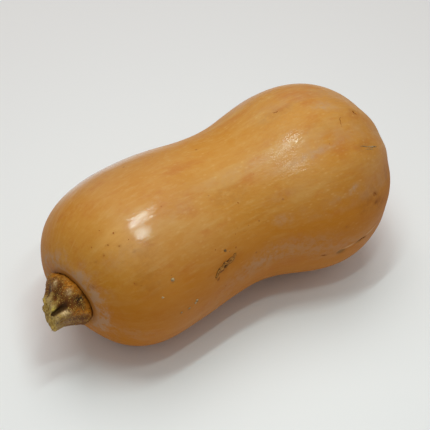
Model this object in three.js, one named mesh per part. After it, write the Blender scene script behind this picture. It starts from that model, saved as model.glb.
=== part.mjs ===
// A butternut squash lying on its side: the fruit, solid and whole, and the dry stump of its stem.
//
// Millimetres, +Z up, resting on the plane z = 0. +X runs along the fruit from the stem to the
// blossom end, and the origin is under the middle of its bounding box.
//
// A place on the fruit is given by its station, the distance along the core line from the stem
// end, and by its angle round that line: 0 degrees is straight up, and positive angles turn
// towards -Y. The stem's ridges are given by the same angle, and by the height above its foot.

import * as THREE from 'three';
import { mergeVertices } from 'three/addons/utils/BufferGeometryUtils.js';

// The outline of the fruit
const BODY_LENGTH = 230;
const NECK = { station: 57.3, radius: 55.4 };
const WAIST = { station: 111.7, radius: 51.4 };
const BULB = { station: 168.6, radius: 62.4 };
const STEM_END_POWERS = { across: 2.8, along: 2.9 }; // 2 and 2 would be an ellipse
const BLOSSOM_END_POWERS = { across: 2.0, along: 2.03 };

// The core line, which isn't quite straight
const NECK_TURN = { reach: 90, shift: 10.7 }; // the stem end turns towards -Y
const BOW = 6.3; // how far the middle stands off towards +Y

// Where the fruit lay on the ground it is pressed flat
const GROUND_PRESS = 2;
const GROUND_EASING = 0.5;

// The ribs, faint at the neck and plainer towards the blossom end. They are at their deepest at
// fullBefore from that end, and run out at goneBefore and on the last of the radius.
const RIBS = { count: 10, turn: 12, neckDepth: 0.15, endDepth: 1.1 };
const RIB_ENDS = { fullBefore: 15, goneBefore: 6, radius: 20 };

// The hollow that the stem grows from, with a groove round the stem and a swelling outside it
const SEAT = { radius: 15.8, depth: 1.6 };
const GROOVE = { radius: 18, halfWidth: 1.4, depth: 1.8 };
const SWELL = { radius: 25, halfWidth: 5, height: 0.6 };

// The stem and its hollow stand a little off the core line, and the skin round them eases back
const STEM_OFFSET = { distance: 2.1, angle: -17 };
const OFFSET_EASE = { from: 22, to: 45 }; // radii

// The corky scar that the flower left, a low button in a pit
const BLOSSOM_PIT = { radius: 9, depth: 1.8 };
const BLOSSOM_BUTTON = { topRadius: 1.8, radius: 3.6, height: 1.2 };

// The stem, which flares to a collar and is broken off aslant
const STEM_GAP = 0.3; // between the stem's foot and its seat
const STEM_HEIGHT = 17.8;
const STEM_FOOT_RADIUS = 15.4;
const COLLAR = { radius: 17, height: 3.2 };
const STEM_WAIST = { radius: 10, height: 16 };
const STEM_END_RADIUS = 9.6;
const CUT_SLOPE = { rise: 3, angle: 126 }; // the broken end stands higher on this side
const CUT_HOLLOW = 0.9;

// The ridges down the stem and the furrows between them, which grow from the collar up
const STEM_RIDGES = [
  { angle: -14, prominence: 1.5 },
  { angle: 22, prominence: 1.7 },
  { angle: 72, prominence: 1.9 },
  { angle: 121, prominence: 1.9 },
  { angle: 165, prominence: 1.6 },
  { angle: 210, prominence: 1.8 },
  { angle: 255, prominence: 1.4 },
  { angle: 300, prominence: 1.7 },
];
const RIDGE_HALF_WIDTH = 13; // degrees
const FURROW_DEPTH = 1.7;
const RIDGE_GROWTH = { from: 2, full: 12 }; // heights

// How finely the solids are divided round the axis, and from ring to ring. Within the cap radius
// of each end the rings are set by their radius, and elsewhere by their station.
const SIDES = 72;
const CAP_RADIUS = 42;
const STEM_END_RINGS = [
  { from: 0, to: SEAT.radius, count: 4 },
  { from: SEAT.radius, to: 22, count: 9 },
  { from: 22, to: CAP_RADIUS, count: 6 },
];
const BODY_RINGS = 26;
const BLOSSOM_END_RINGS = [
  { from: CAP_RADIUS, to: 14, count: 6 },
  { from: 14, to: 0, count: 9 },
];
const STEM_FOOT_RING = 7; // radius
const STEM_RINGS = { collar: 4, shank: 14 };
const STEM_END_SHARES = [1, 0.8, 0.55, 0.28, 0]; // of its radius, out to in

const SKIN_COLOUR = 0xc08a45;
const STEM_COLOUR = 0x7d6a34;

const rad = THREE.MathUtils.degToRad;
const { lerp, clamp, smoothstep } = THREE.MathUtils;
const bell = (x) => Math.exp(-x * x);

// Radius of the plain outline at a station
function outlineRadius(station) {
  if (station <= NECK.station) {
    const run = (NECK.station - station) / NECK.station;
    return NECK.radius * (1 - run ** STEM_END_POWERS.along) ** (1 / STEM_END_POWERS.across);
  }
  if (station >= BULB.station) {
    const run = (station - BULB.station) / (BODY_LENGTH - BULB.station);
    return BULB.radius * (1 - run ** BLOSSOM_END_POWERS.along) ** (1 / BLOSSOM_END_POWERS.across);
  }
  const [from, to] = station < WAIST.station ? [NECK, WAIST] : [WAIST, BULB];
  const share = (station - from.station) / (to.station - from.station);
  return lerp(from.radius, to.radius, (1 - Math.cos(Math.PI * share)) / 2);
}

// Station at which each end cap has a radius
function stemEndStation(radius) {
  const across = 1 - (radius / NECK.radius) ** STEM_END_POWERS.across;
  return NECK.station * (1 - across ** (1 / STEM_END_POWERS.along));
}

function blossomEndStation(radius) {
  const across = 1 - (radius / BULB.radius) ** BLOSSOM_END_POWERS.across;
  return BULB.station + (BODY_LENGTH - BULB.station) * across ** (1 / BLOSSOM_END_POWERS.along);
}

// How far the skin is sunk along the core line at a radius, round the stem
function stemHollow(radius) {
  const seat = SEAT.depth * (1 - smoothstep(radius, SEAT.radius, GROOVE.radius + GROOVE.halfWidth));
  const groove = GROOVE.depth * bell((radius - GROOVE.radius) / GROOVE.halfWidth);
  const swell = SWELL.height * bell((radius - SWELL.radius) / SWELL.halfWidth);
  return seat + groove - swell;
}

// The same, round the blossom scar
function blossomHollow(radius) {
  const pit = BLOSSOM_PIT.depth * bell(radius / BLOSSOM_PIT.radius);
  const flank = smoothstep(radius, BLOSSOM_BUTTON.topRadius, BLOSSOM_BUTTON.radius);
  return pit - BLOSSOM_BUTTON.height * (1 - flank);
}

const steps = ({ from, to, count }) =>
  Array.from({ length: count }, (_, i) => lerp(from, to, i / count));

// The fruit's outline from pole to pole, as radius and station
function fruitOutline() {
  const stemEndRadii = STEM_END_RINGS.flatMap(steps);
  const blossomEndRadii = [...BLOSSOM_END_RINGS.flatMap(steps), 0];
  const bodyStations = steps({
    from: stemEndStation(CAP_RADIUS),
    to: blossomEndStation(CAP_RADIUS),
    count: BODY_RINGS,
  });
  return [
    ...stemEndRadii.map((r) => new THREE.Vector2(r, stemEndStation(r) + stemHollow(r))),
    ...bodyStations.map((s) => new THREE.Vector2(outlineRadius(s), s)),
    ...blossomEndRadii.map((r) => new THREE.Vector2(r, blossomEndStation(r) - blossomHollow(r))),
  ];
}

// The core line before the fruit leans: its sideways place and slope at a station
function coreLine(station) {
  const turn = clamp(1 - station / NECK_TURN.reach, 0, 2);
  const middle = (2 * station) / BODY_LENGTH - 1;
  const y = BOW * (1 - middle ** 2) - NECK_TURN.shift * turn ** 2;
  const slope = (-4 * BOW * middle) / BODY_LENGTH + (2 * NECK_TURN.shift * turn) / NECK_TURN.reach;
  return { y, slope };
}

// The lean that rests the neck and the bulb on the ground together
const lean = Math.atan2(BULB.radius - NECK.radius, BULB.station - NECK.station);
const leanTurn = new THREE.Matrix4().makeRotationY(-lean);
const neckMiddle = new THREE.Vector3(NECK.station, 0, 0).applyMatrix4(leanTurn);
const restingHeight = NECK.radius - neckMiddle.z - GROUND_PRESS;

// Point at a station, a radius and an angle in radians, on the leaning fruit before it is pressed
function placeOnCore(station, radius, angle) {
  const { y, slope } = coreLine(station);
  const along = new THREE.Vector3(1, slope, 0).normalize();
  const side = new THREE.Vector3(along.y, -along.x, 0);
  const up = new THREE.Vector3(0, 0, 1);
  const point = new THREE.Vector3(station, y, 0)
    .addScaledVector(side, radius * Math.sin(angle))
    .addScaledVector(up, radius * Math.cos(angle))
    .applyMatrix4(leanTurn);
  point.z += restingHeight;
  return point;
}

const stemShift = placeOnCore(0, STEM_OFFSET.distance, rad(STEM_OFFSET.angle))
  .sub(placeOnCore(0, 0, 0));

// Height above the ground once the skin has been pressed flat against it
function pressed(z) {
  if (z >= GROUND_EASING) return z;
  if (z <= -GROUND_EASING) return 0;
  return (z + GROUND_EASING) ** 2 / (4 * GROUND_EASING);
}

// How deep the skin lies below the crests of the ribs
function ribDepth(station, radius, angle) {
  const furrow = (1 - Math.cos(RIBS.count * (angle - rad(RIBS.turn)))) / 2;
  const grown = smoothstep(station, WAIST.station, BODY_LENGTH - RIB_ENDS.fullBefore);
  const kept = 1 - smoothstep(station, BODY_LENGTH - RIB_ENDS.goneBefore, BODY_LENGTH);
  const share = clamp(radius / RIB_ENDS.radius, 0, 1);
  return lerp(RIBS.neckDepth, RIBS.endDepth, grown) * kept * share * furrow;
}

// Replaces each vertex of a lathed solid, whose axis is Y, by the point that place() gives
function reshape(geometry, place) {
  const position = geometry.getAttribute('position');
  for (let i = 0; i < position.count; i += 1) {
    const x = position.getX(i);
    const z = position.getZ(i);
    const point = place(position.getY(i), Math.hypot(x, z), Math.atan2(x, z));
    position.setXYZ(i, point.x, point.y, point.z);
  }
  geometry.deleteAttribute('normal');
  geometry.deleteAttribute('uv');
  const merged = mergeVertices(geometry, 1e-3);
  merged.computeVertexNormals();
  return merged;
}

function makeFruit() {
  const lathe = new THREE.LatheGeometry(fruitOutline(), SIDES);
  const geometry = reshape(lathe, (station, radius, angle) => {
    const point = placeOnCore(station, radius - ribDepth(station, radius, angle), angle);
    const eased = station < NECK.station ? smoothstep(radius, OFFSET_EASE.from, OFFSET_EASE.to) : 1;
    point.addScaledVector(stemShift, 1 - eased);
    point.z = pressed(point.z);
    return point;
  });
  const mesh = new THREE.Mesh(
    geometry,
    new THREE.MeshStandardMaterial({ color: SKIN_COLOUR, roughness: 0.42, metalness: 0 }),
  );
  mesh.name = 'fruit';
  return mesh;
}

// The stem's mean radius at a height above its foot
function stemRadius(height) {
  if (height < COLLAR.height) {
    const rounding = Math.sin((height / COLLAR.height) * (Math.PI / 2));
    return lerp(STEM_FOOT_RADIUS, COLLAR.radius, rounding);
  }
  if (height < STEM_WAIST.height) {
    const share = (height - COLLAR.height) / (STEM_WAIST.height - COLLAR.height);
    return lerp(COLLAR.radius, STEM_WAIST.radius, smoothstep(share, 0, 1));
  }
  const share = (height - STEM_WAIST.height) / (STEM_HEIGHT - STEM_WAIST.height);
  return lerp(STEM_WAIST.radius, STEM_END_RADIUS, share);
}

// How far the ridges stand out at an angle in radians
function ridgeHeight(angle) {
  return STEM_RIDGES.reduce((sum, ridge) => {
    const turned = angle - rad(ridge.angle);
    const away = Math.atan2(Math.sin(turned), Math.cos(turned));
    return sum + ridge.prominence * bell(away / rad(RIDGE_HALF_WIDTH));
  }, 0);
}

// The stem's outline from the middle of the broken end to its foot, as radius and height. The
// stem grows towards -X, so its outline runs the other way to the fruit's and faces out.
function stemOutline() {
  const foot = [new THREE.Vector2(0, 0), new THREE.Vector2(STEM_FOOT_RING, 0)];
  const heights = [
    ...steps({ from: 0, to: COLLAR.height, count: STEM_RINGS.collar }),
    ...steps({ from: COLLAR.height, to: STEM_HEIGHT, count: STEM_RINGS.shank }),
  ];
  const sides = heights.map((height) => new THREE.Vector2(stemRadius(height), height));
  const end = STEM_END_SHARES
    .map((share) => new THREE.Vector2(share * STEM_END_RADIUS, STEM_HEIGHT));
  return [...foot, ...sides, ...end].reverse();
}

function makeStem() {
  const lathe = new THREE.LatheGeometry(stemOutline(), SIDES);
  const footStation = stemEndStation(0) + SEAT.depth - STEM_GAP;
  const foot = placeOnCore(footStation, 0, 0);
  const along = placeOnCore(footStation + 1, 0, 0).sub(foot);
  const up = placeOnCore(footStation, 1, 0).sub(foot);
  const side = placeOnCore(footStation, 1, Math.PI / 2).sub(foot);
  const geometry = reshape(lathe, (height, radius, angle) => {
    const share = clamp(radius / STEM_END_RADIUS, 0, 1);
    const grown = smoothstep(height, RIDGE_GROWTH.from, RIDGE_GROWTH.full);
    const relief = (ridgeHeight(angle) - FURROW_DEPTH * grown) * grown * share;
    const slope = CUT_SLOPE.rise * share * Math.cos(angle - rad(CUT_SLOPE.angle));
    const hollow = height >= STEM_HEIGHT ? CUT_HOLLOW * (1 - share ** 2) : 0;
    const reach = height + (height / STEM_HEIGHT) ** 2 * slope - hollow;
    return foot.clone()
      .add(stemShift)
      .addScaledVector(along, -reach)
      .addScaledVector(up, (radius + relief) * Math.cos(angle))
      .addScaledVector(side, (radius + relief) * Math.sin(angle));
  });
  const mesh = new THREE.Mesh(
    geometry,
    new THREE.MeshStandardMaterial({ color: STEM_COLOUR, roughness: 0.8, metalness: 0 }),
  );
  mesh.name = 'stem';
  return mesh;
}

const squash = new THREE.Group();
squash.add(makeFruit(), makeStem());

const bounds = new THREE.Box3().setFromObject(squash);
const middle = bounds.getCenter(new THREE.Vector3());
squash.position.set(-middle.x, -middle.y, -bounds.min.z);

export default squash;
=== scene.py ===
# A butternut squash on a pale floor, seen from its stem end and from above.
#
# Shapes are worked out in millimetres and become metres as they are made into meshes. A place on
# the fruit is a station, the distance along the core line from the stem end, and an angle round
# that line in degrees: 0 is straight up, and positive angles turn towards -Y.
import math

import bpy
import numpy as np
from mathutils import Matrix, Vector, noise


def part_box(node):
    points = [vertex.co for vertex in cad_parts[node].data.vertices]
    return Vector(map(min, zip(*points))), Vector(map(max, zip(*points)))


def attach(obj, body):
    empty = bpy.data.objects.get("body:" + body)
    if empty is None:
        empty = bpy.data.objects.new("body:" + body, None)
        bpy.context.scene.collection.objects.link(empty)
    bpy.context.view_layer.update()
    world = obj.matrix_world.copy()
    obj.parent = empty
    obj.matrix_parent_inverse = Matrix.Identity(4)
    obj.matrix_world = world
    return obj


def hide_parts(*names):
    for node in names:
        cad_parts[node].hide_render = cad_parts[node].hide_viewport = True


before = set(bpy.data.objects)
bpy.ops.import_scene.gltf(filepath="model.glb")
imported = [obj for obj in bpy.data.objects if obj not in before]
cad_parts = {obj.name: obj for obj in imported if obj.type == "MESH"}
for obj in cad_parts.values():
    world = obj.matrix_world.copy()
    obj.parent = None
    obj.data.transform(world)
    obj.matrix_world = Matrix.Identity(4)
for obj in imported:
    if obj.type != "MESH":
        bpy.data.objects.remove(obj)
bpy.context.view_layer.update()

MM = 0.001
SEED = 7

# The outline of the fruit
BODY_LENGTH = 230
NECK_STATION, NECK_RADIUS = 57.3, 55.4
WAIST_STATION, WAIST_RADIUS = 111.7, 51.4
BULB_STATION, BULB_RADIUS = 168.6, 62.4
STEM_END_ACROSS, STEM_END_ALONG = 2.8, 2.9
BLOSSOM_END_ACROSS, BLOSSOM_END_ALONG = 2.0, 2.03
CAP_RADIUS = 42

# The core line, and the ground that the fruit lies on
NECK_TURN_REACH, NECK_TURN_SHIFT = 90, 10.7
BOW = 6.3
GROUND_PRESS = 2
GROUND_EASING = 0.5

# The ribs
RIB_COUNT, RIB_TURN = 10, 12
RIB_NECK_DEPTH, RIB_END_DEPTH = 0.15, 1.1
RIB_FULL_BEFORE, RIB_GONE_BEFORE, RIB_RADIUS = 15, 6, 20

# The hollow at the stem and the scar at the blossom end
SEAT_RADIUS, SEAT_DEPTH = 15.8, 1.6
GROOVE_RADIUS, GROOVE_HALF_WIDTH, GROOVE_DEPTH = 18, 1.4, 1.8
SWELL_RADIUS, SWELL_HALF_WIDTH, SWELL_HEIGHT = 25, 5, 0.6
STEM_OFFSET, STEM_OFFSET_ANGLE = 2.1, -17
OFFSET_EASE = (22, 45)
PIT_RADIUS, PIT_DEPTH = 9, 1.8
BUTTON_TOP_RADIUS, BUTTON_RADIUS, BUTTON_HEIGHT = 1.8, 3.6, 1.2

# The stem
STEM_GAP = 0.3
STEM_HEIGHT = 17.8
STEM_FOOT_RADIUS = 15.4
COLLAR_RADIUS, COLLAR_HEIGHT = 17, 3.2
STEM_WAIST_RADIUS, STEM_WAIST_HEIGHT = 10, 16
STEM_END_RADIUS = 9.6
CUT_RISE, CUT_ANGLE = 3, 126
CUT_HOLLOW = 0.9
STEM_RIDGES = {-14: 1.5, 22: 1.7, 72: 1.9, 121: 1.9, 165: 1.6, 210: 1.8, 255: 1.4, 300: 1.7}
RIDGE_HALF_WIDTH = 13
FURROW_DEPTH = 1.7
RIDGE_GROWTH = (2, 12)

# The camera, which looks at the middle of the fruit's plain form
CAMERA_ELEVATION = 42
CAMERA_TURN = 30.34
CAMERA_DISTANCE = 511.5
CAMERA_ASIDE = (5.30, 5.55)
AIM_HEIGHT = 60.9
FOCAL_PIXELS, FRAME_PIXELS = 800, 430
SENSOR_WIDTH = 36


def share_between(x, low, high):
    return np.clip((x - low) / (high - low), 0, 1)


def smoothstep(x, low, high):
    t = share_between(x, low, high)
    return t * t * (3 - 2 * t)


def bell(x):
    return np.exp(-x * x)


def window(x, low, high, ease):
    """1 from low to high, falling to 0 over the ease beyond them."""
    return smoothstep(x, low - ease, low) * (1 - smoothstep(x, high, high + ease))


def degrees_apart(a, b):
    return (np.asarray(a) - b + 180) % 360 - 180


def arc(a, b, radius):
    return np.radians(degrees_apart(a, b)) * radius


def all_pairs(rows, columns):
    return (grid.ravel() for grid in np.meshgrid(rows, columns, indexing="ij"))


# The fruit's plain form
def outline_radius(station):
    neck_run = share_between(station, NECK_STATION, 0)
    neck_cap = NECK_RADIUS * (1 - neck_run**STEM_END_ALONG) ** (1 / STEM_END_ACROSS)
    bulb_run = share_between(station, BULB_STATION, BODY_LENGTH)
    bulb_cap = BULB_RADIUS * (1 - bulb_run**BLOSSOM_END_ALONG) ** (1 / BLOSSOM_END_ACROSS)
    to_waist = share_between(station, NECK_STATION, WAIST_STATION)
    to_bulb = share_between(station, WAIST_STATION, BULB_STATION)
    narrowing = (NECK_RADIUS - WAIST_RADIUS) * (1 - np.cos(np.pi * to_waist)) / 2
    widening = (BULB_RADIUS - WAIST_RADIUS) * (1 - np.cos(np.pi * to_bulb)) / 2
    side = NECK_RADIUS - narrowing + widening
    return np.where(station < NECK_STATION, neck_cap, np.where(station > BULB_STATION, bulb_cap, side))


def stem_end_station(radius):
    across = 1 - (radius / NECK_RADIUS) ** STEM_END_ACROSS
    return NECK_STATION * (1 - across ** (1 / STEM_END_ALONG))


def blossom_end_station(radius):
    across = 1 - (radius / BULB_RADIUS) ** BLOSSOM_END_ACROSS
    return BULB_STATION + (BODY_LENGTH - BULB_STATION) * across ** (1 / BLOSSOM_END_ALONG)


def stem_hollow(radius):
    seat = SEAT_DEPTH * (1 - smoothstep(radius, SEAT_RADIUS, GROOVE_RADIUS + GROOVE_HALF_WIDTH))
    groove = GROOVE_DEPTH * bell((radius - GROOVE_RADIUS) / GROOVE_HALF_WIDTH)
    swell = SWELL_HEIGHT * bell((radius - SWELL_RADIUS) / SWELL_HALF_WIDTH)
    return seat + groove - swell


# The seat and the groove as they are dressed: filled up so that the collar sits in the skin. The
# groove is deepest between two angles, with an ease beyond them, and least elsewhere.
NEAR_SEAT_RADII = (15.4, 17.0)
SOFT_GROOVE_RADIUS, SOFT_GROOVE_HALF_WIDTH, SOFT_GROOVE_DEPTH = 18.1, 1.1, 0.5
GROOVE_OPEN = (5, 70, 30)
GROOVE_LEAST = 0.3


def groove_fill(radius, angle):
    """How far the dressed skin at the stem end lies above the plain hollow."""
    opened = window(degrees_apart(angle, 0), *GROOVE_OPEN)
    depth = SOFT_GROOVE_DEPTH * (GROOVE_LEAST + (1 - GROOVE_LEAST) * opened)
    hollow = SEAT_DEPTH * (1 - smoothstep(radius, *NEAR_SEAT_RADII))
    hollow = hollow + depth * bell((radius - SOFT_GROOVE_RADIUS) / SOFT_GROOVE_HALF_WIDTH)
    hollow = hollow - SWELL_HEIGHT * bell((radius - SWELL_RADIUS) / SWELL_HALF_WIDTH)
    return stem_hollow(radius) - hollow


def blossom_hollow(radius):
    pit = PIT_DEPTH * bell(radius / PIT_RADIUS)
    return pit - BUTTON_HEIGHT * (1 - smoothstep(radius, BUTTON_TOP_RADIUS, BUTTON_RADIUS))


def core_line(station):
    turn = np.clip(1 - station / NECK_TURN_REACH, 0, 2)
    middle = 2 * station / BODY_LENGTH - 1
    y = BOW * (1 - middle**2) - NECK_TURN_SHIFT * turn**2
    slope = -4 * BOW * middle / BODY_LENGTH + 2 * NECK_TURN_SHIFT * turn / NECK_TURN_REACH
    return y, slope


LEAN = math.atan2(BULB_RADIUS - NECK_RADIUS, BULB_STATION - NECK_STATION)
RESTING_HEIGHT = NECK_RADIUS - NECK_STATION * math.sin(LEAN) - GROUND_PRESS


def place_on_core(station, radius, angle):
    """Points, one row each, on the leaning fruit before it is pressed; angle in degrees."""
    station, radius, angle = np.broadcast_arrays(station, radius, np.radians(angle))
    y, slope = core_line(station)
    run = np.hypot(1, slope)
    x = station + slope / run * radius * np.sin(angle)
    y = y - radius * np.sin(angle) / run
    z = radius * np.cos(angle)
    leaning_x = x * math.cos(LEAN) - z * math.sin(LEAN)
    leaning_z = x * math.sin(LEAN) + z * math.cos(LEAN) + RESTING_HEIGHT
    return np.stack([leaning_x, y, leaning_z], axis=-1)


STEM_SHIFT = place_on_core(0, STEM_OFFSET, STEM_OFFSET_ANGLE) - place_on_core(0, 0, 0)


def stem_ease(station, radius):
    """The share of the stem's offset that the skin follows."""
    return np.where(station < NECK_STATION, 1 - smoothstep(radius, *OFFSET_EASE), 0)


def pressed(z):
    eased = (z + GROUND_EASING) ** 2 / (4 * GROUND_EASING)
    return np.where(z >= GROUND_EASING, z, np.where(z <= -GROUND_EASING, 0, eased))


def rib_depth(station, radius, angle):
    furrow = (1 - np.cos(RIB_COUNT * np.radians(angle - RIB_TURN))) / 2
    grown = smoothstep(station, WAIST_STATION, BODY_LENGTH - RIB_FULL_BEFORE)
    kept = 1 - smoothstep(station, BODY_LENGTH - RIB_GONE_BEFORE, BODY_LENGTH)
    depth = RIB_NECK_DEPTH + (RIB_END_DEPTH - RIB_NECK_DEPTH) * grown
    return depth * kept * share_between(radius, 0, RIB_RADIUS) * furrow


# Samples of the outline over each end and over the body between them
END_SAMPLES, BODY_SAMPLES = 600, 900


def fruit_outline():
    """Radius and station along the skin, from the pole under the stem to the blossom end's."""
    stem_end = np.linspace(0, CAP_RADIUS, END_SAMPLES)
    body = np.linspace(stem_end_station(CAP_RADIUS), blossom_end_station(CAP_RADIUS), BODY_SAMPLES)[1:-1]
    blossom_end = np.linspace(CAP_RADIUS, 0, END_SAMPLES)
    radius = np.concatenate([stem_end, outline_radius(body), blossom_end])
    station = np.concatenate([
        stem_end_station(stem_end) + stem_hollow(stem_end),
        body,
        blossom_end_station(blossom_end) - blossom_hollow(blossom_end),
    ])
    return radius, station


# Where the plain form goes so that it fills the box of the part's own fruit
def plain_fruit_middle():
    radius, station = fruit_outline()
    angle = np.linspace(0, 360, 361)[:, None]
    depth = rib_depth(station, radius, angle)
    points = place_on_core(station, radius - depth, angle)
    points = (points + stem_ease(station, radius)[:, None] * STEM_SHIFT).reshape(-1, 3)
    return (points.min(axis=0) + points.max(axis=0)) / 2


fruit_low, fruit_high = (np.array(corner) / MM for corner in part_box("fruit"))
SHIFT = (fruit_low + fruit_high) / 2 - plain_fruit_middle()
SHIFT[2] = 0


def skin_point(station, angle):
    """Points on the finished skin and their outward directions, in millimetres."""
    def at(s, a):
        radius = outline_radius(s)
        plain = place_on_core(s, radius - rib_depth(s, radius, a), a)
        return plain + stem_ease(s, radius)[:, None] * STEM_SHIFT
    point = at(station, angle)
    along = at(station + 0.5, angle) - at(station - 0.5, angle)
    round_it = at(station, angle + 0.5) - at(station, angle - 0.5)
    normal = np.cross(round_it, along)
    normal /= np.linalg.norm(normal, axis=-1, keepdims=True)
    relief = skin_relief(point, station, angle, outline_radius(station))
    return point + SHIFT + normal * relief[:, None], normal


# Marks on the skin, each with its station, its angle, its half length along the fruit and its half
# width in millimetres, its slant in degrees and its amount. A dent's amount is its depth.
DENTS = [
    (164.4, 103.6, 3.8, 2.3, -4, 0.8), (179.5, 100.9, 5.6, 2.1, -2, 0.7),
    (200.9, 15.5, 0.9, 1.1, 0, 0.5), (197.5, 41.8, 5.0, 0.9, 8, 0.25), (153.4, -0.8, 1.6, 0.6, 0, 0.2),
    (191.3, 71.0, 1.6, 1.0, 30, 0.2), (38.5, 66.8, 2.0, 1.5, 0, 0.3), (150.4, 104.5, 1.6, 0.7, 0, 0.25),
]
# Patches of waxy bloom; the one at station 62 and angle 31 is a painted sheen beside the highlight
BLOOM_AND_SHEEN = [
    (156, 34.6, 22, 2.6, -2, 0.85), (175.5, 61.2, 1.7, 1.4, 0, 1.2), (1.8, 28, 1.8, 6, 0, 0.9),
    (1.8, 60, 1.7, 8, 0, 0.9), (1.2, 117, 2, 7, 0, 0.9), (184, 11, 8, 3, 10, 0.5),
    (20, 36, 13, 6, 10, 0.35), (62, 31, 16, 5, 0, 0.3), (175.7, 61, 4.2, 2.4, -20, 1.1),
    (168, 63.5, 9, 1.6, 0, 0.5), (179.5, 7.3, 9, 4, 0, 0.7), (126.2, 65, 8, 4, 10, 0.6),
    (128, 88, 34, 8, 0, 0.7), (95, 96, 24, 8, 0, 0.6), (160, 96, 26, 5, 0, 0.6), (60, 108, 20, 8, 0, 0.5),
    (110, 24, 26, 4, 0, 0.35), (11, 106, 12, 8, 0, 0.5), (111, 87, 10, 5, 0, 0.35),
    (132, 50, 14, 3, 0, 0.3), (140, 180, 60, 30, 0, 0.5), (60, 200, 30, 20, 0, 0.5),
]
# A painted pale sheen on the neck beside the highlight, given like the marks
PAINTED_SHEEN = [(24, 30, 10, 12, 0, 1.0)]
STAINS = [
    (188, 72, 11, 8, 0, 0.6), (197, 80, 6, 4, 20, 0.7), (180.3, 78.5, 3, 2, 0, 0.5),
    (166.2, 82.4, 2, 1.5, 0, 0.4), (151.8, 101.6, 3, 1.6, 0, 0.6), (194, 40.5, 7, 4, 0, 0.35),
    (201, 15, 4, 3, 0, 0.45), (71.4, 83.1, 1.6, 0.7, 50, 1), (80, 76, 13, 5, -6, 0.35),
    (153, 0, 14, 5, 0, 0.4), (30, 40, 12, 9, 0, 0.3), (170, 22, 10, 5, 0, 0.2),
    (100, 36, 14, 8, 0, 0.35), (164.4, 103.6, 4.5, 3, -4, 0.5),
    (192.8, 72, 2.4, 1.4, 20, 1), (192.3, 77.2, 2, 1.2, 0, 0.7), (43.6, 91.2, 1.3, 1.3, 0, 0.9),
    (37.6, 90.6, 1.2, 1.2, 0, 0.8), (56.7, 103.4, 1.2, 1, 0, 0.6), (25, 60, 8, 10, 0, 0.35),
    (209, 67, 3, 6, 0, 0.6), (18.2, 24.2, 0.9, 0.8, 0, 0.9), (22.1, 29.7, 0.9, 0.8, 0, 0.8),
    (26.5, 37.4, 0.9, 0.7, 0, 0.8), (18.7, 39, 0.8, 0.7, 0, 0.7), (9.6, 26.5, 0.8, 0.8, 0, 0.7),
    (24.3, 20.9, 0.9, 0.8, 0, 0.8), (13.7, 27.4, 1, 0.9, 0, 0.8), (17.6, 55.2, 0.9, 0.8, 0, 0.7),
    (2.5, 44, 1, 2.2, 0, 0.9), (210, 250, 16, 14, 0, 0.5), (150, 280, 26, 12, 0, 0.3),
]
# The raised crease beside the two long dents, which is painted paler as a highlight
CREASE_FROM, CREASE_TO = (156.0, 101.5), (196.0, 98.2)
CREASE_FULL = (170, 188, 14)
CREASE_HALF_WIDTH, CREASE_HEIGHT = 1.2, 0.35


def sum_of_marks(marks, station, angle, radius):
    total = np.zeros_like(station)
    for at, turn, half_length, half_width, slant, amount in marks:
        run = station - at
        across = arc(angle, turn, radius)
        c, s = math.cos(math.radians(slant)), math.sin(math.radians(slant))
        u = (run * c + across * s) / half_length
        v = (across * c - run * s) / half_width
        total += amount * bell(np.hypot(u, v) ** 1.5)
    return total


def mark_relief(station, angle, radius):
    """How far the dents and the crease move the skin out."""
    relief = -sum_of_marks(DENTS, station, angle, radius)
    share = share_between(station, CREASE_FROM[0], CREASE_TO[0])
    middle = CREASE_FROM[1] + (CREASE_TO[1] - CREASE_FROM[1]) * share
    across = bell(arc(angle, middle, radius) / CREASE_HALF_WIDTH)
    return relief + CREASE_HEIGHT * window(station, *CREASE_FULL) * across


def lumps(points, size, amount, seed):
    """A smooth random height at each point, of about that size of lump."""
    offset = Vector((seed * 13.7, seed * 5.1, seed * 9.3))
    return np.array([amount * noise.noise(Vector(p) / size + offset) for p in points])


# The soft unevenness of the skin, as the size, the height and the seed of its lumps, and the
# radii between which it starts
SOFT_LUMPS = [(34, 0.55, 1), (15, 0.16, 2)]
SOFT_FROM, SOFT_FULL = 16, 34


def skin_relief(points, station, angle, radius):
    """How far the finished skin stands out from the ribbed form."""
    soft = sum(lumps(points, *kind) for kind in SOFT_LUMPS)
    return mark_relief(station, angle, radius) + soft * smoothstep(radius, SOFT_FROM, SOFT_FULL)


# The long corky scar on the waist, as stations and angles along its middle
LONG_SCAR = [(69.6, 81.0), (73.0, 78.0), (77.5, 76.5), (82.5, 75.6), (87.0, 74.8), (90.6, 72.4)]
SCAR_HALF_WIDTH = 2.4
SCAR_ROWS, SCAR_COLUMNS = 190, 48


def along_path(path, share):
    path = np.array(path, dtype=float)
    place = np.linspace(0, 1, len(path))
    smooth = 3 * share**2 - 2 * share**3
    share = 0.8 * share + 0.2 * smooth
    return np.interp(share, place, path[:, 0]), np.interp(share, place, path[:, 1])


def spaced(position, spacing, closed=False):
    """Positions picked along a line so that neighbours are as far apart as spacing says there."""
    step = np.diff(position)
    count = np.concatenate([[0], np.cumsum(step / ((spacing[1:] + spacing[:-1]) / 2))])
    number = int(round(count[-1]))
    picked = np.interp(np.linspace(0, count[-1], number + 1), count, position)
    return picked[:-1] if closed else picked


def plain_mesh(name, points, edges=(), faces=(), attributes=None):
    """A mesh from points in millimetres, with an attribute for each entry."""
    mesh = bpy.data.meshes.new(name)
    mesh.from_pydata((np.asarray(points) * MM).tolist(), list(edges), list(faces))
    for key, values in (attributes or {}).items():
        set_attribute(mesh, key, values)
    return mesh


def set_attribute(mesh, key, values):
    values = np.asarray(values, dtype=float)
    kind, field = ("FLOAT_VECTOR", "vector") if values.ndim == 2 else ("FLOAT", "value")
    mesh.attributes.new(key, kind, "POINT").data.foreach_set(field, values.ravel())


def link_object(name, data):
    made = bpy.data.objects.new(name, data)
    bpy.context.scene.collection.objects.link(made)
    return made


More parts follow.
